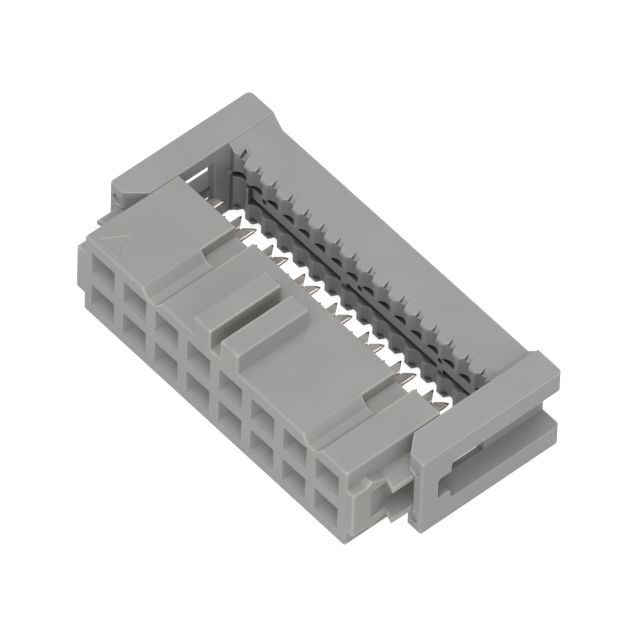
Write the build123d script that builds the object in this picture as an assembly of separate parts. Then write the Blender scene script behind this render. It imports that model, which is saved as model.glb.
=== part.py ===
from build123d import *
import os

# Socket for flat ribbon cable, sixteen ways in two rows, with its cover
# held open as it is before a cable is fitted.
# X runs along the rows, Y from the mating face to the back of the cover,
# and Z up. All sizes are in millimetres. Y is measured from the mating face
# and levels from the middle of the housing, until the parts are written:
# there the whole model moves so that the origin is under the middle of it.

# Contact grid
pitch = 2.54
columns = 8
wire_pitch = pitch / 2
wire_offset = pitch / 4

# Housing body
housing_height = 5.95
housing_depth = 6.45
end_wall = 0.61
edge_radius = 0.12
opening_width = 1.80
opening_height = 1.71

# Rails on the housing's ends, which guide the cover
rail_out = 1.34
rail_front = 2.00
rail_length = 3.00
rail_height = 2.80
rail_thickness = 0.30
rail_hook = 0.25

# End ribs in front of the rails, each with a low hump above and below
rib_out = 0.57
rib_height = 3.26
hump_front = 0.95
hump_peak = 1.25
hump_height = 0.22
nose_front = 1.20
nose_back = 2.80

# Polarising key on top, two ribs with a slot between them
key_rib_width = 1.33
key_gap = 0.82
key_height = 1.45
key_length = 4.90

# Shallow grooves in the top, each with a deeper pocket at the back
groove_columns = (1.5, 6.5)
groove_top_width = 1.44
groove_floor_width = 0.54
groove_floor_wall = 0.30
pocket_length = 2.40
pocket_floor_wall = 0.05

# First contact mark, an engraved triangle
mark_half_width = 0.86
mark_front = 0.42
mark_length = 1.45
mark_depth = 0.06

# Contacts: a flat strip with a fork at the back and two springs in front
strip_thickness = 0.30
strip_drop = 0.83
shoulder_length = 0.60
fork_half_width = 0.60
fork_reach = 2.00
fork_mouth = 0.58
fork_slot = 0.20
fork_slot_length = 2.30
fork_bevel_length = 0.24
fork_tip_thickness = 0.09
socket_half_width = 0.72
socket_front = 3.20
socket_length = 1.30
socket_height = 1.26
spring_thickness = 0.20
spring_height = 0.80
spring_gap = 0.52
spring_reach = 1.70
spring_pinch = 1.10
spring_flare = 0.20
contact_clearance = 0.03
socket_room = 0.15
pin_room = 0.30

# Cover: its travel, and the clearances of its arms on the housing
travel = 2.80
closed_gap = 0.75
side_clearance = 0.05
rail_clearance = 0.06
rib_clearance = 0.06

# Cover arms, which slide over the ends of the housing
arm_reach = 6.55
arm_skin = 0.60
arm_height = 5.75
arm_corner_round = 0.12
arm_back_round = 0.30
arm_lead_width = 0.97
arm_lead_length = 1.10
window_setback = 2.05
window_height = 3.00
window_round = 0.26
notch_length = 0.90
notch_height = 1.56
notch_round = 0.15
sharp_round = 0.03
web_thickness = 0.95
pin_mark_diameter = 0.80
pin_mark_depth = 0.13
pin_mark_edge = 0.93
pin_mark_inset = 0.64

# Cover bar, which presses the cable onto the forks
bar_depth = 3.12
bar_top = 2.07
bar_foot = 2.22
bar_round = 0.22
bar_foot_round = 0.08
ramp_step = 0.09
ridge_width = 0.30
wire_groove_depth = 0.29
band_depth = 0.25
slot_clearance = 0.06
slot_end_clearance = 0.02
slot_end_room = 0.15
slot_group = 3
pillar_width = 0.50
lip_height = 0.25
lead_length = 0.67
lead_depth = 0.25
lead_left = 0.19
lead_left_back = 0.385
lead_right = 0.29
lead_right_back = -0.02
dimple_diameter = 0.36
dimple_depth = 0.30
dimple_ridges = (-6, 0, 5)
dimple_shift = 0.23
dimple_level = 0.10

# Added shapes are sunk this far into the body that they join, and cutting
# shapes run this far past the face that they cut.
root = 0.20
past = 1.00

# Values that follow from the sizes above
row_length = (columns - 1) * pitch + opening_width
half_length = row_length / 2 + end_wall
mid_level = housing_height / 2
row_level = wire_pitch
opening_top = row_level + opening_height / 2
groove_depth = mid_level - opening_top - groove_floor_wall
pocket_depth = mid_level - opening_top - pocket_floor_wall
pocket_start = housing_depth - pocket_length
rib_length = rail_front + rail_hook
rail_inner = rail_height / 2 - rail_thickness
strip_level = row_level - strip_drop
strip_top = strip_level + strip_thickness
fork_level = strip_level + strip_thickness / 2
fork_tip = housing_depth + fork_reach
socket_end = socket_front + socket_length
socket_top = strip_level + socket_height
wires = 2 * columns
bar_front = housing_depth + closed_gap + travel
arm_front = bar_front - arm_reach
arm_back = bar_front + bar_depth
arm_inner = half_length + side_clearance
channel_side = half_length + rib_out + rib_clearance
channel_floor = half_length + rail_out + rail_clearance
arm_outer = channel_floor + arm_skin
window_start = arm_front + window_setback
notch_start = window_start - notch_length
web_start = bar_front - web_thickness
ramp_top = arm_height / 2 - ramp_step
slot_level = strip_level - slot_clearance
slot_top = strip_top + slot_clearance
slot_bottom = bar_front + fork_reach - closed_gap + slot_end_room
slot_left = fork_half_width + slot_end_clearance
slot_right = pitch - slot_left - pillar_width
wire_groove_width = wire_pitch - ridge_width


def column_x(k):
    return (k - (columns - 1) / 2) * pitch


def wire_x(j):
    return (j - (wires - 1) / 2) * wire_pitch


def block(x0, x1, y0, y1, z0, z1):
    # A box between two corners, with levels from the middle of the housing.
    size = (x1 - x0, y1 - y0, z1 - z0)
    place = ((x0 + x1) / 2, (y0 + y1) / 2, mid_level + (z0 + z1) / 2)
    return Pos(*place) * Box(*size)


def slab(points, z0, z1):
    # An outline in X and Y, raised between two levels.
    face = make_face(Polyline(*points, close=True))
    return Pos(0, 0, mid_level + z0) * extrude(face, z1 - z0)


def prism_x(points, x0, x1):
    # An outline of (y, z) points, carried along X.
    face = make_face(Polyline(*points, close=True))
    return Pos(x0, 0, mid_level) * extrude(Plane.YZ * face, x1 - x0)


def prism_y(points, y0, y1):
    # An outline of (x, z) points, carried along Y.
    face = make_face(Polyline(*points, close=True))
    return Pos(0, y0, mid_level) * extrude(Plane.XZ * face, -(y1 - y0))


def half_turn(shape):
    # The same shape turned half round the middle line along Y.
    return Pos(0, 0, 2 * mid_level) * Rot(0, 180, 0) * shape


def mirrored(shape):
    return mirror(shape, Plane.YZ)


def rounded_box(x0, x1, y0, y1, z0, z1, radius):
    # A box with all its edges rounded.
    solid = block(x0, x1, y0, y1, z0, z1)
    return fillet(solid.edges(), radius)


# Housing

def housing_body():
    return rounded_box(
        -half_length, half_length, 0, housing_depth, -mid_level, mid_level, edge_radius
    )


def end_rib():
    # The rib stands out beside the mating face. Its humps fall to the level
    # of the rails behind it.
    half = rib_height / 2
    upper = [
        (0, half),
        (hump_front, half),
        (hump_peak, half + hump_height),
        (rib_length, rail_height / 2),
    ]
    lower = [(y, -z) for y, z in reversed(upper)]
    rib = prism_x(upper + lower, half_length - root, half_length + rib_out)
    outside = half_length + rib_out + past
    between = block(
        half_length, outside, nose_front, rib_length + past, -rail_inner, rail_inner
    )
    return rib - between


def rib_nose():
    # Between the rails the rib falls back to the wall in a long slope.
    outline = [
        (half_length - root, nose_front - root),
        (half_length + rib_out, nose_front - root),
        (half_length + rib_out, nose_front),
        (half_length, nose_back),
        (half_length - root, nose_back),
    ]
    return slab(outline, -rail_inner, rail_inner)


def rail():
    # One guide rail. Its front end leans forward like a hook.
    outer = half_length + rail_out
    end = rail_front + rail_length
    outline = [
        (half_length - root, rib_length - root),
        (half_length + rib_out, rib_length),
        (outer, rail_front),
        (outer, end),
        (half_length - root, end),
    ]
    return slab(outline, rail_inner, rail_height / 2)


def end_details():
    upper = rail()
    return end_rib() + rib_nose() + upper + mirrored(half_turn(upper))


def key():
    # The key keeps the socket from being plugged in the wrong way round.
    half = key_rib_width + key_gap / 2
    top = mid_level + key_height
    solid = rounded_box(-half, half, 0, key_length, 0, top, edge_radius)
    gap = block(
        -key_gap / 2, key_gap / 2, -past, key_length + past, mid_level, top + past
    )
    below = block(
        -half - past, half + past, -past, key_length + past, -past, mid_level - root
    )
    return solid - gap - below


def top_groove(column):
    x = column_x(0) + column * pitch
    half_floor = groove_floor_width / 2
    half_top = groove_top_width / 2
    spread = past * (half_top - half_floor) / groove_depth
    outline = [
        (x - half_floor, mid_level - groove_depth),
        (x + half_floor, mid_level - groove_depth),
        (x + half_top + spread, mid_level + past),
        (x - half_top - spread, mid_level + past),
    ]
    channel = prism_y(outline, -past, pocket_start + root)
    pocket = block(
        x - half_top,
        x + half_top,
        pocket_start,
        housing_depth + past,
        mid_level - pocket_depth,
        mid_level + past,
    )
    return channel + pocket


def first_contact_mark():
    x = column_x(0)
    corners = [
        (x - mark_half_width, mark_front),
        (x + mark_half_width, mark_front),
        (x, mark_front + mark_length),
    ]
    return slab(corners, mid_level - mark_depth, mid_level + past)


def contact_space(k):
    # The space that one contact of the upper row fills: the opening for the
    # pin, the room for its socket and the slot that its fork comes out of.
    x = column_x(k)
    half = opening_width / 2
    fork_x = x - wire_offset
    fork_half = fork_half_width + contact_clearance
    middle_end = socket_end + shoulder_length + contact_clearance
    pin_end = socket_front + pin_room
    fork_roof = strip_top + contact_clearance
    pin = block(x - half, x + half, -past, pin_end, strip_level, opening_top)
    middle = block(
        x - half, x + half, 0, middle_end, strip_level, socket_top + socket_room
    )
    fork = block(
        fork_x - fork_half,
        fork_x + fork_half,
        socket_end - contact_clearance,
        housing_depth + past,
        strip_level,
        fork_roof,
    )
    return pin + middle + fork


def make_housing():
    ends = end_details()
    solid = housing_body() + key() + ends + mirrored(ends)
    for column in groove_columns:
        solid = solid - top_groove(column)
    solid = solid - first_contact_mark()
    for k in range(columns):
        space = contact_space(k)
        solid = solid - space
        solid = solid - half_turn(space)
    return solid


# Contacts

def strip():
    # The flat strip, from the socket back to the two points of the fork.
    fork_x = -wire_offset
    left = fork_x - fork_half_width
    right = fork_x + fork_half_width
    slot_half = fork_slot / 2
    mouth = fork_tip - fork_mouth
    slot_root = fork_tip - fork_slot_length
    shoulder = socket_end + shoulder_length
    outline = [
        (-socket_half_width, socket_front),
        (socket_half_width, socket_front),
        (socket_half_width, socket_end),
        (right, shoulder),
        (right, fork_tip),
        (fork_x + slot_half, mouth),
        (fork_x + slot_half, slot_root),
        (fork_x - slot_half, slot_root),
        (fork_x - slot_half, mouth),
        (left, fork_tip),
        (left, shoulder),
        (-socket_half_width, socket_end),
    ]
    return slab(outline, strip_level, strip_top)


def tip_bevel():
    # The points of the fork are bevelled above and below.
    start = fork_tip - fork_bevel_length
    lip = fork_level + fork_tip_thickness / 2
    upper = [
        (start, strip_top),
        (fork_tip, lip),
        (fork_tip + past, lip),
        (fork_tip + past, strip_top + past),
        (start, strip_top + past),
    ]
    lower = [(y, 2 * fork_level - z) for y, z in upper]
    reach = wire_offset + fork_half_width + past
    return prism_x(upper, -reach, reach) + prism_x(lower, -reach, reach)


def spring():
    # One side of the socket, bent up from the strip, and its spring, which
    # runs forward, closes on the pin and opens again at its end.
    outer = socket_half_width
    inner = outer - spring_thickness
    grip = spring_gap / 2
    pinch = socket_front - spring_pinch
    tip = socket_front - spring_reach
    wall = block(inner, outer, socket_front, socket_end, strip_level, socket_top)
    outline = [
        (inner, socket_front + root),
        (grip, pinch),
        (grip + spring_flare, tip),
        (grip + spring_flare + spring_thickness, tip),
        (grip + spring_thickness, pinch),
        (outer, socket_front),
        (outer, socket_front + root),
    ]
    blade = slab(outline, socket_top - spring_height, socket_top)
    return wall + blade


def make_contact(k):
    # Upper row. The lower row is the same piece turned half round.
    side = spring()
    solid = strip() - tip_bevel() + side + mirrored(side)
    return Pos(column_x(k), 0, 0) * solid


# Cover

def arm_body():
    half = arm_height / 2
    plan = make_face(
        FilletPolyline(
            (arm_inner, arm_front + arm_lead_length),
            (arm_inner + arm_lead_width, arm_front),
            (arm_outer, arm_front),
            (arm_outer, arm_back),
            (arm_inner, arm_back),
            radius=[arm_corner_round, arm_corner_round, arm_back_round],
        )
        + Line((arm_inner, arm_back), (arm_inner, arm_front + arm_lead_length))
    )
    side = make_face(
        FilletPolyline(
            (arm_back, -half),
            (arm_front, -half),
            (arm_front, half),
            (arm_back, half),
            radius=arm_corner_round,
        )
        + Line((arm_back, half), (arm_back, -half))
    )
    width = arm_outer - arm_inner + 2 * past
    upright = Pos(0, 0, mid_level - half) * extrude(plan, arm_height)
    along = Pos(arm_inner - past, 0, mid_level) * extrude(Plane.YZ * side, width)
    return upright & along


def arm_window():
    # The window in the outer face is open at the back, and a lower notch
    # runs forward from it.
    half = window_height / 2
    notch_half = notch_height / 2
    end = arm_back + past
    face = make_face(
        FilletPolyline(
            (end, -half),
            (window_start, -half),
            (window_start, -notch_half),
            (notch_start, -notch_half),
            (notch_start, notch_half),
            (window_start, notch_half),
            (window_start, half),
            (end, half),
            radius=[
                window_round,
                notch_round,
                sharp_round,
                window_round,
                sharp_round,
                window_round,
            ],
        )
        + Line((end, half), (end, -half))
    )
    return Pos(channel_side, 0, mid_level) * extrude(Plane.YZ * face, arm_outer)


def arm_channel():
    # The channel in the inner face takes the end rib and, deeper in, the rails.
    rib_half = rib_height / 2 + hump_height + rib_clearance
    rail_half = rail_height / 2 + rail_clearance
    inside = arm_inner - past
    front = arm_front - past
    wide = block(inside, channel_side, front, web_start, -rib_half, rib_half)
    deep = block(inside, channel_floor, front, web_start, -rail_half, rail_half)
    return wide + deep


def pin_marks():
    # Shallow round marks in the front end, one near each corner.
    x = arm_outer - pin_mark_inset
    level = arm_height / 2 - pin_mark_edge
    mark = Plane.XZ * Circle(pin_mark_diameter / 2)
    place = Pos(x, arm_front + pin_mark_depth, mid_level + level)
    solid = place * extrude(mark, past)
    return solid + Pos(0, 0, -2 * level) * solid


def arm():
    return arm_body() - arm_window() - arm_channel() - pin_marks()


def bar_body():
    side = make_face(
        FilletPolyline(
            (arm_back, bar_top),
            (bar_front, bar_top),
            (bar_front, -bar_foot),
            (arm_back, -bar_foot),
            radius=[bar_round, bar_foot_round],
        )
        + Line((arm_back, -bar_foot), (arm_back, bar_top))
    )
    reach = arm_inner + root
    return Pos(-reach, 0, mid_level) * extrude(Plane.YZ * side, 2 * reach)


def bar_ramps(edge):
    # At each end the bar rises in a ramp to the height of the arm.
    rise = ramp_top - edge
    outline = [
        (arm_inner + root, edge - bar_round),
        (arm_inner - rise, edge - bar_round),
        (arm_inner - rise, edge),
        (arm_inner, ramp_top),
        (arm_inner + root, ramp_top),
    ]
    ramp = prism_y(outline, bar_front, arm_back)
    return ramp + mirrored(ramp)


def wire_groove(j, low, high):
    # A round groove for one wire, between two levels of the bar's face.
    half = wire_groove_width / 2
    radius = (half ** 2 + wire_groove_depth ** 2) / (2 * wire_groove_depth)
    axis = bar_front + wire_groove_depth - radius
    return Pos(wire_x(j), axis, mid_level + low) * extrude(Circle(radius), high - low)


def wire_way_out(j, edge):
    # A lip closes the end of the groove, but for a way out on one side. It
    # has a slanting edge, and a shallow ramp leads from it over the bar.
    x = wire_x(j)
    half = wire_groove_width / 2
    back = bar_front + lead_length
    slant = [(x + lead_right, bar_front), (x + lead_right_back, back)]
    plan = [(x - half, bar_front), *slant, (x - half, back)]
    end = wire_groove(j, edge - lip_height - root, edge + past)
    end = end & slab(plan, edge - lip_height, edge + past)
    corners = [(x - lead_left, bar_front), *slant, (x - lead_left_back, back)]
    side = [
        (back, edge),
        (bar_front, edge - lead_depth),
        (bar_front, edge + past),
        (back, edge + past),
    ]
    ramp = slab(corners, 0, edge + past) & prism_x(side, x - past, x + past)
    return end + ramp


def wire_cuts(j, start, edge):
    lip = edge - lip_height
    return wire_groove(j, start, lip) + wire_way_out(j, edge)


def fork_slots(first_wire, low, high):
    # Slots for the fork points of one row, in groups with a pillar between
    # one group and the next.
    cut = None
    for start in range(0, columns, slot_group):
        last = min(start + slot_group, columns) - 1
        x0 = wire_x(first_wire + 2 * start) - slot_left
        x1 = wire_x(first_wire + 2 * last) + slot_right
        x1 = min(x1, arm_inner)
        slot = block(x0, x1, bar_front, slot_bottom, low, high)
        cut = slot if cut is None else cut + slot
    return cut


def upper_slots():
    # The first slot of the upper row runs out to the arm.
    x0 = -arm_inner
    x1 = wire_x(0)
    end = block(x0, x1, bar_front, slot_bottom, slot_level, slot_top)
    return end + fork_slots(0, slot_level, slot_top)


def front_band():
    # Over the height of the slots the bar's face is set back. Below the
    # first wire of the lower row it isn't.
    front = bar_front - past
    back = bar_front + band_depth
    start = wire_x(1) - slot_left
    upper = block(-arm_inner, arm_inner, front, back, slot_level, slot_top)
    lower = block(start, arm_inner, front, back, -slot_top, slot_level + root)
    return upper + lower


def dimples():
    # Small blind holes in the face between the two rows of slots.
    cut = None
    for ridge in dimple_ridges:
        x = ridge * wire_pitch - dimple_shift
        hole = Plane.XZ * Circle(dimple_diameter / 2)
        place = Pos(x, bar_front + band_depth + dimple_depth, mid_level + dimple_level)
        hole = place * extrude(hole, past)
        cut = hole if cut is None else cut + hole
    return cut


def make_cover():
    # The lower half of the bar's face is cut with the upper half's shapes,
    # turned half round.
    right = arm()
    solid = bar_body() + right + half_turn(right)
    solid = solid + bar_ramps(bar_top) + half_turn(bar_ramps(bar_foot))
    for j in range(wires):
        solid = solid - wire_cuts(j, slot_level, bar_top)
        start = -slot_level if j == wires - 1 else slot_level
        solid = solid - half_turn(wire_cuts(j, start, bar_foot))
    lower_slots = fork_slots(1, -slot_top, -slot_level)
    return solid - upper_slots() - lower_slots - front_band() - dimples()


# The parts are written with the origin under the middle of the open socket.

def write(shape, name):
    placed = Pos(0, -arm_back / 2, 0) * shape
    export_step(placed, os.path.join("parts", name + ".step"))


os.makedirs("parts", exist_ok=True)
write(make_housing(), "housing")
write(make_cover(), "cover")
for k in range(columns):
    write(make_contact(k), f"contact_{2 * k + 1:02d}")
    write(half_turn(make_contact(columns - 1 - k)), f"contact_{2 * k + 2:02d}")
print("cover travel", travel)
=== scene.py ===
# %% [markdown]
# # Ribbon cable socket: materials, light and camera
# The CAD model holds every shape of this socket: the housing, the cover that
# is still open, and sixteen contacts. So nothing is modelled here. The scene
# gives the two plastics and the metal their looks, lights them softly on a
# white floor, and places the camera where the photograph was taken from.

# %% Load the frame
import math
import bpy
from mathutils import Matrix, Vector

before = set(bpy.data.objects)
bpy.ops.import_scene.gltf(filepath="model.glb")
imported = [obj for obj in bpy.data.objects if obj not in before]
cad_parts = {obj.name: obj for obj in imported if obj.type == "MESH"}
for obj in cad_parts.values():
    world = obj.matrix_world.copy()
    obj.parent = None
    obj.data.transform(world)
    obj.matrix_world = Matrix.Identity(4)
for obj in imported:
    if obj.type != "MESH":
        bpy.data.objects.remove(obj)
bpy.ops.object.select_all(action="DESELECT")
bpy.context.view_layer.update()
MM = 0.001
print("nodes", len(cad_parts))

# %% [markdown]
# ## A short way to write shader maths
# A material is a tree of nodes. The nodes could be linked one by one, but
# each sum would then take several lines. `Wire` wraps an output socket
# instead, so that sums and products of sockets read like ordinary arithmetic
# and add their own Math nodes.

# %% A wrapped socket
class Wire:
    def __init__(self, shader, socket):
        self.shader = shader
        self.socket = socket

    def other(self, name):
        return Wire(self.shader, self.socket.node.outputs[name])

    def math(self, operation, first, second):
        settings = {"operation": operation}
        return self.shader.node("ShaderNodeMath", settings, {0: first, 1: second})

    def __add__(self, other):
        return self.math("ADD", self, other)

    def __radd__(self, other):
        return self.math("ADD", other, self)

    def __sub__(self, other):
        return self.math("SUBTRACT", self, other)

    def __rsub__(self, other):
        return self.math("SUBTRACT", other, self)

    def __mul__(self, other):
        return self.math("MULTIPLY", self, other)

    def __rmul__(self, other):
        return self.math("MULTIPLY", other, self)

    def __abs__(self):
        return self.math("ABSOLUTE", self, 0.0)


print("wires can be added, subtracted, multiplied and made positive")

# %% [markdown]
# ## One node tree
# `Shader` fills one node tree, that of a material or of the world. Its `node`
# method takes the node's type, then its settings, which are set first, then
# the values or wires of its inputs. The methods below it are for the nodes
# that are used most. The Mix node has its sockets for numbers, vectors and
# colours one after another, so those for colours are found by their number.
# `new_material` starts a material, and `finished` closes one with its surface.

# %% Filling a node tree
MIX_FACTOR, MIX_FIRST, MIX_SECOND, MIX_RESULT = 0, 6, 7, 2


class Shader:
    def __init__(self, tree):
        self.tree = tree
        tree.nodes.clear()

    def node(self, kind, settings, inputs, output=0):
        made = self.tree.nodes.new(kind)
        for key, value in settings.items():
            setattr(made, key, value)
        for key, value in inputs.items():
            if isinstance(value, Wire):
                self.tree.links.new(value.socket, made.inputs[key])
            else:
                made.inputs[key].default_value = value
        if len(made.outputs) == 0:
            return made
        return Wire(self, made.outputs[output])

    def blend(self, factor, first, second):
        inputs = {MIX_FACTOR: factor, MIX_FIRST: first, MIX_SECOND: second}
        return self.node("ShaderNodeMix", {"data_type": "RGBA"}, inputs, MIX_RESULT)

    def ramp(self, value, low, high):
        inputs = {"Value": value, "From Min": low, "From Max": high}
        settings = {"interpolation_type": "SMOOTHSTEP"}
        return self.node("ShaderNodeMapRange", settings, inputs)

    def noise(self, where, scale, detail=3.0):
        inputs = {"Vector": where, "Scale": scale, "Detail": detail}
        return self.node("ShaderNodeTexNoise", {}, inputs)

    def axis(self, where, name):
        return self.node("ShaderNodeSeparateXYZ", {}, {"Vector": where}, name)

    def mixed_shaders(self, factor, first, second):
        inputs = {0: factor, 1: first, 2: second}
        return self.node("ShaderNodeMixShader", {}, inputs)


print("node trees can be filled")

# %% A new material
def new_material(name):
    material = bpy.data.materials.new(name)
    material.use_nodes = True
    return material, Shader(material.node_tree)


def finished(s, material, surface):
    body = s.node("ShaderNodeBsdfPrincipled", {}, surface)
    s.node("ShaderNodeOutputMaterial", {}, {"Surface": body})
    return material


def coloured(colour, level=1.0):
    red, green, blue = colour
    return (red * level, green * level, blue * level, 1.0)


print("materials can be started and finished")

# %% [markdown]
# ## Painted highlights on edges, and painted shade in hollows
# A mould's edges are never quite sharp, so along every outer edge the real mouldings
# catch the light in a thin pale line, while narrow hollows lie in shade. Both are
# painted into the colour here: a painted highlight along the edges and painted shade
# in the hollows. A bevel on the mesh would change the CAD shape, and a painted
# picture would need all faces unfolded. The Ambient Occlusion node finds both places
# by itself: it counts how many short rays hit the piece. Sent inwards they find the
# outer edges, and sent outwards they find the hollows. The Bevel node rounds the
# normal at an edge without touching the mesh.

# %% Painted edge highlights and painted shade in hollows
RAYS = 8
EDGE_RANGE = (0.10, 0.42)
HOLLOW_SHADE_RANGE = (0.02, 0.44)


def nearness(s, distance, inside):
    settings = {"samples": RAYS, "inside": inside, "only_local": True}
    inputs = {"Distance": distance}
    return 1.0 - s.node("ShaderNodeAmbientOcclusion", settings, inputs, "AO")


def outer_edge(s, width):
    return s.ramp(nearness(s, width, True), *EDGE_RANGE)


# Painted shade mask, high in narrow hollows.
def painted_hollow_shade(s, width):
    return s.ramp(nearness(s, width, False), *HOLLOW_SHADE_RANGE)


def rounded_normal(s, radius):
    return s.node("ShaderNodeBevel", {"samples": RAYS}, {"Radius": radius})


print("edges from", EDGE_RANGE, "hollows from", HOLLOW_SHADE_RANGE)

# %% [markdown]
# ## Where a point lies
# Some looks belong to one place only. The place could be marked by splitting
# the mesh into more slots, but the CAD mesh stays as it is. An object's own
# coordinates are metres from the middle of the open socket, with the height
# measured from the floor, so comparing them with a few sizes of the socket
# finds a place just as well.

# %% Sizes of the places
HOUSING_MIDDLE = 5.95 / 2 * MM
HOUSING_FRONT = -6.56 * MM
OPENINGS_SIDE = 10.05 * MM
OPENINGS_RISE = 2.35 * MM
OPENINGS_DEPTH = 2.9 * MM
BAR_SIDE = 10.3 * MM
GROOVES_MIDDLE = (3.44 + 0.4) * MM
GROOVES_REACH = 0.5 * MM
SOFT = 0.1 * MM
print("openings reach", OPENINGS_SIDE, "to each side and", OPENINGS_DEPTH, "deep")

# %% Places
def within(s, value, limit, soft=SOFT):
    return 1.0 - s.ramp(value, limit - soft, limit + soft)


def around_openings(s, where):
    side = abs(s.axis(where, "X"))
    rise = abs(s.axis(where, "Z") - HOUSING_MIDDLE)
    return within(s, side, OPENINGS_SIDE) * within(s, rise, OPENINGS_RISE)


def inside_openings(s, where):
    depth = s.axis(where, "Y") - HOUSING_FRONT
    entered = s.ramp(depth, 0.02 * MM, 0.08 * MM)
    shallow = within(s, depth, OPENINGS_DEPTH, 0.3 * MM)
    return around_openings(s, where) * entered * shallow


def bar_grooves(s, where):
    side = abs(s.axis(where, "X"))
    depth = abs(s.axis(where, "Y") - GROOVES_MIDDLE)
    return within(s, depth, GROOVES_REACH, 0.05 * MM) * within(s, side, BAR_SIDE)


print("grooves of the bar are", GROOVES_MIDDLE, "behind the middle")

# %% [markdown]
# ## Moulded plastic
# Both mouldings are a matt grey plastic, the housing's a little warmer than
# the cover's. A mould leaves a very fine grain on its parts, and a filled
# plastic has a faint cloud in its colour. Both could come from pictures, but
# noise on the piece's own coordinates has no seams and stays sharp close by.
# The bump bends the light only: the grain is too fine to be a shape.

# %% Matt surface
GRAIN_SCALE = 9000.0
GRAIN_HEIGHT = 0.01 * MM
CORNER_RADIUS = 0.08 * MM
SMOOTHEST, GRAIN_ROUGHNESS = 0.50, 0.12


def own_place(s):
    return s.node("ShaderNodeTexCoord", {}, {}, "Object")


def matt(s, where, base):
    grain = s.noise(where, GRAIN_SCALE, 2.0)
    height = {
        "Strength": 0.25,
        "Distance": GRAIN_HEIGHT,
        "Height": grain,
        "Normal": rounded_normal(s, CORNER_RADIUS),
    }
    return {
        "Base Color": base,
        "Roughness": SMOOTHEST + grain * GRAIN_ROUGHNESS,
        "Normal": s.node("ShaderNodeBump", {}, height),
        "Specular IOR Level": 0.4,
    }


print("grain", GRAIN_SCALE, "corners rounded by", CORNER_RADIUS)

# %% Cloud and painted edge highlight
CLOUD_SCALE, DARKER, LIGHTER = 300.0, 0.97, 1.03
HIGHLIGHT_NOISE_SCALE, LEAST_HIGHLIGHT, MORE_HIGHLIGHT = 1500.0, 0.7, 0.4


def clouded(s, where, grey):
    cloud = s.ramp(s.noise(where, CLOUD_SCALE, 2.0), 0.3, 0.7)
    return s.blend(cloud, coloured(grey, DARKER), coloured(grey, LIGHTER))


# Painted highlight along the outer edges, its strength varied by noise.
def painted_edge_highlight(s, where, width):
    highlight_noise = LEAST_HIGHLIGHT + s.noise(where, HIGHLIGHT_NOISE_SCALE) * MORE_HIGHLIGHT
    return outer_edge(s, width) * highlight_noise


print("cloud", CLOUD_SCALE, "highlight_noise", HIGHLIGHT_NOISE_SCALE)

# %% [markdown]
# ## The housing's plastic
# The painted edge highlight is fainter around the sixteen openings, whose edges are
# crisp.
# Inside them the photograph is lighter than these lamps make the plastic, and
# more lamplight would bleach the outer faces. So the plastic is written
# lighter there, as a choice about the look.

# %% Housing plastic
HOUSING_GREY = (0.376, 0.378, 0.368)
HOUSING_HIGHLIGHT = (0.56, 0.555, 0.51)
HOUSING_LINE = 0.22 * MM
PAINTED_LIGHT_INSIDE = 1.36
FAINTER_LINE = 0.8


def housing_finish(name):
    material, s = new_material(name)
    where = own_place(s)
    line = painted_edge_highlight(s, where, HOUSING_LINE)
    line = line * (1.0 - FAINTER_LINE * around_openings(s, where))
    # Painted light: inside the openings the plastic is written lighter.
    lighter = coloured(HOUSING_GREY, PAINTED_LIGHT_INSIDE)
    face = clouded(s, where, HOUSING_GREY)
    face = s.blend(inside_openings(s, where), face, lighter)
    # Painted highlight: the outer edges are blended towards a pale colour.
    base = s.blend(line, face, coloured(HOUSING_HIGHLIGHT))
    return finished(s, material, matt(s, where, base))


housing_plastic = housing_finish("housing_plastic")
print("plastic", housing_plastic.name)

# %% [markdown]
# ## The cover's plastic
# The cover has a narrower painted edge highlight. Its bar holds the wire grooves and
# the slots for the forks, which lie almost black in shade in their depths. The
# hollows are darkened with painted shade only there: over the whole cover, the same
# node would draw a false dark line along the inner corners of the arms.

# %% Cover plastic
COVER_GREY = (0.386, 0.386, 0.398)
COVER_HIGHLIGHT = (0.52, 0.525, 0.515)
COVER_LINE = 0.13 * MM
PAINTED_HOLLOW_SHADE_COLOUR = (0.07, 0.064, 0.056)
HOLLOW_SHADE_WIDTH = 0.8 * MM


def cover_finish(name):
    material, s = new_material(name)
    where = own_place(s)
    line = painted_edge_highlight(s, where, COVER_LINE)
    face = clouded(s, where, COVER_GREY)
    # Painted highlight: the outer edges are blended towards a pale colour.
    base = s.blend(line, face, coloured(COVER_HIGHLIGHT))
    # Painted shade: the hollows of the bar's grooves and slots are darkened towards
    # black.
    shade = painted_hollow_shade(s, HOLLOW_SHADE_WIDTH) * bar_grooves(s, where)
    base = s.blend(shade, base, coloured(PAINTED_HOLLOW_SHADE_COLOUR))
    return finished(s, material, matt(s, where, base))


cover_plastic = cover_finish("cover_plastic")
print("plastic", cover_plastic.name)

# %% [markdown]
# ## Tinned contacts
# The contacts are stamped from strip and plated with tin. Their flat faces are a
# soft warm grey with fine rolling marks along the strip. A stamped edge has two
# bands: the half where the punch entered is burnished bright, and the half that tore
# away is dull and brown. The two bands could be two slots of the mesh. Here they are
# found from the height above or below the middle of the housing, which the upper and
# the lower contacts turn away from. The tips of the forks are darkened with painted
# shade.

# %% Colours of the contacts
STRIP_MIDDLE = 0.59 * MM
FORK_TIP = 1.89 * MM
TIN_DARK = (0.14, 0.13, 0.12)
TIN_LIGHT = (0.24, 0.23, 0.215)
TORN_BAND = (0.14, 0.115, 0.095)
BURNISHED_BAND = (0.97, 0.93, 0.87)
TIP_PAINTED_SHADE = (0.04, 0.035, 0.03)
ROLLED = (9000.0, 900.0, 9000.0)


def tin_face(s, where):
    cloud = s.ramp(s.noise(where, 900.0, 2.0), 0.35, 0.65)
    return s.blend(cloud, coloured(TIN_DARK), coloured(TIN_LIGHT))


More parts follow.
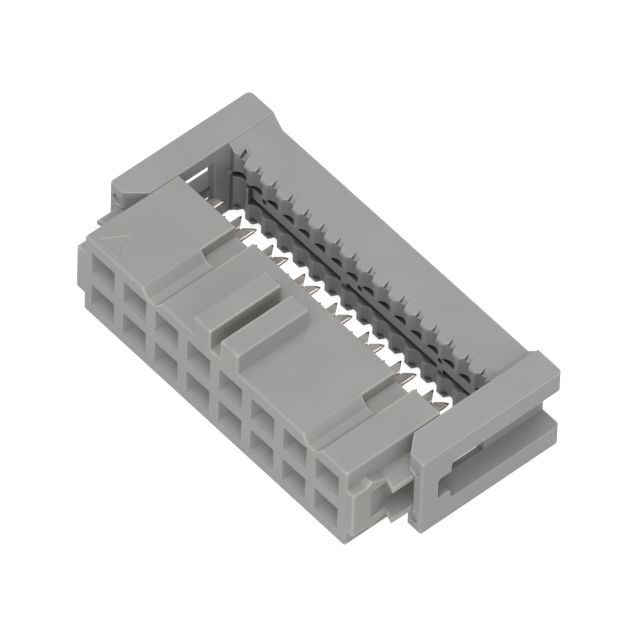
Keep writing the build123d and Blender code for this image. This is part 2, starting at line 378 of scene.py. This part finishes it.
def stamped_edge(s, where):
    rise = abs(s.axis(where, "Z") - HOUSING_MIDDLE) - STRIP_MIDDLE
    burnished = s.ramp(rise, -0.01 * MM, 0.01 * MM)
    return s.blend(burnished, coloured(TORN_BAND), coloured(BURNISHED_BAND))


def fork_tip_shade(s, where):
    y = s.axis(where, "Y")
    return s.ramp(y, FORK_TIP - 0.26 * MM, FORK_TIP - 0.06 * MM) * 0.85


print("fork tips end at", FORK_TIP)

# %% Contact metal
def tinned(name):
    material, s = new_material(name)
    where = own_place(s)
    normal = s.node("ShaderNodeNewGeometry", {}, {}, "Normal")
    flat = s.ramp(abs(s.axis(normal, "Z")), 0.25, 0.5)
    base = s.blend(flat, stamped_edge(s, where), tin_face(s, where))
    # Painted shade darkens the tips of the forks.
    base = s.blend(fork_tip_shade(s, where), base, coloured(TIP_PAINTED_SHADE))
    stretched = {"Vector": where, "Scale": ROLLED}
    marks = s.noise(s.node("ShaderNodeMapping", {}, stretched), 1.0)
    height = {"Strength": 0.15, "Distance": 0.005 * MM, "Height": marks}
    surface = {
        "Base Color": base,
        "Metallic": 1.0,
        "Roughness": 0.28 + marks * 0.16,
        "Normal": s.node("ShaderNodeBump", {}, height),
    }
    return finished(s, material, surface)


contact_metal = tinned("contact_metal")
print("metal", contact_metal.name)

# %% [markdown]
# ## Materials on the CAD nodes
# Each node keeps its CAD mesh and gets its finished material. The housing
# and the cover are one moulding each, and every other node is a contact.

# %% Assign
plastics = {"housing": housing_plastic, "cover": cover_plastic}
for name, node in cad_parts.items():
    for slot in node.material_slots:
        slot.material = plastics.get(name, contact_metal)
print("materials assigned to", len(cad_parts), "nodes")

# %% [markdown]
# ## Floor
# The socket lies on a white floor. More light would make a grey floor white,
# but it would bleach the socket too. So the floor's own colour is a pale grey
# that takes the object's shadow, and what makes it white is a glow that only
# the camera and mirror-like rays see. It puts no extra light on the socket.
# The floor lies a hair below the socket, so that the two never share a plane.

# %% White floor
FLOOR_WIDTH = 0.6
FLOOR_DROP = 0.01 * MM
FLOOR_GREY = (0.62, 0.62, 0.62)
FLOOR_GLOW = 0.88
WHITE = (1.0, 1.0, 1.0, 1.0)


def seen(s):
    path = s.node("ShaderNodeLightPath", {}, {}, "Is Camera Ray")
    return path + path.other("Is Glossy Ray") + path.other("Is Transmission Ray")


floor_white, s = new_material("floor_white")
lit = s.node("ShaderNodeBsdfDiffuse", {}, {"Color": coloured(FLOOR_GREY)})
glow = s.node("ShaderNodeEmission", {}, {"Color": WHITE, "Strength": FLOOR_GLOW})
both = s.node("ShaderNodeAddShader", {}, {0: lit, 1: glow})
surface = s.mixed_shaders(seen(s), lit, both)
s.node("ShaderNodeOutputMaterial", {}, {"Surface": surface})

bpy.ops.mesh.primitive_plane_add(size=FLOOR_WIDTH, location=(0, 0, -FLOOR_DROP))
floor = bpy.context.object
floor.name = "floor"
floor.data.materials.append(floor_white)
print("floor", floor.name, "with", floor_white.name)

# %% [markdown]
# ## World
# A picture of a studio could light the scene, but plain white does for a
# matt socket. A dim white world fills the shadows, while the camera and
# mirror-like rays see it at full white.

# %% World
WORLD_FILL = 0.23


def white_sky(s, strength):
    return s.node("ShaderNodeBackground", {}, {"Color": WHITE, "Strength": strength})


world = bpy.data.worlds.new("studio")
bpy.context.scene.world = world
world.use_nodes = True
s = Shader(world.node_tree)
sky = s.mixed_shaders(seen(s), white_sky(s, WORLD_FILL), white_sky(s, 1.0))
s.node("ShaderNodeOutputWorld", {}, {"Surface": sky})
print("world", world.name, "fills with", WORLD_FILL)

# %% [markdown]
# ## Lamps
# Square lamps stand around the socket and face its middle, because wide lamps
# give soft shadows. The strongest is almost overhead. Three low ones, in
# front, at the corner and at the right, reach under the roofs of the
# openings. One high behind lights what faces away from the others. Each row
# holds a lamp's name, its angle round the socket from the front and its
# height in degrees, its width in metres and its power in watts.

# %% Lamps
LAMP_DISTANCE = 0.5
LAMPS = [
    ("top_lamp", 16, 71, 0.35, 1.13),
    ("front_lamp", 12, 14, 0.32, 0.40),
    ("corner_lamp", 48, 18, 0.32, 0.50),
    ("right_lamp", 98, 22, 0.32, 0.28),
    ("back_lamp", 200, 62, 0.35, 0.35),
]


def direction(azimuth, elevation):
    a, e = math.radians(azimuth), math.radians(elevation)
    level = math.cos(e)
    return Vector((math.sin(a) * level, -math.cos(a) * level, math.sin(e)))


for name, azimuth, elevation, width, power in LAMPS:
    data = bpy.data.lights.new(name, "AREA")
    data.shape = "SQUARE"
    data.size = width
    data.energy = power
    lamp = bpy.data.objects.new(name, data)
    lamp.location = direction(azimuth, elevation) * LAMP_DISTANCE
    lamp.rotation_euler = lamp.location.to_track_quat("Z", "Y").to_euler()
    bpy.context.collection.objects.link(lamp)
    print("lamp", name, "of", power, "watts")

# %% [markdown]
# ## Camera
# The camera could be placed by eye, but its place was worked out from the
# grid of openings and the outline of the cover instead. It stands far away
# with a long lens, so the socket's parallel edges stay almost parallel.
# Three directions turn it: back towards it, to its side and to its top. Two
# small shifts put the socket where it is in the photograph. All sizes here
# are in millimetres until the place is multiplied by `MM`.

# %% Camera's directions
AZIMUTH, ELEVATION, ROLL = 47.333, 50.894, 2.091
around, roll = math.radians(AZIMUTH), math.radians(ROLL)
back = direction(AZIMUTH, ELEVATION)
right = Vector((math.cos(around), math.sin(around), 0))
up = back.cross(right)
side = right * math.cos(roll) + up * math.sin(roll)
top = up * math.cos(roll) - right * math.sin(roll)
rotation = Matrix((side, top, back)).transposed()
print("camera looks along", [round(-v, 3) for v in back])

# %% Camera
TARGET = Vector((0, 1.44, 2.975))
DISTANCE, LEFTWARD, DOWNWARD = 846.9, 0.531, 0.322
FOCAL_PIXELS, PICTURE_PIXELS = 16231.2, 640
place = (TARGET + back * DISTANCE - side * LEFTWARD - top * DOWNWARD) * MM

data = bpy.data.cameras.new("camera")
data.sensor_width = 36.0
data.lens = FOCAL_PIXELS / PICTURE_PIXELS * data.sensor_width
data.clip_start = 0.05
data.clip_end = 10.0
camera = bpy.data.objects.new("camera", data)
camera.matrix_world = Matrix.Translation(place) @ rotation.to_4x4()
bpy.context.collection.objects.link(camera)
bpy.context.scene.camera = camera
bpy.context.scene.view_settings.view_transform = "Standard"
print("camera", [round(v, 4) for v in place], "lens", round(data.lens, 1))
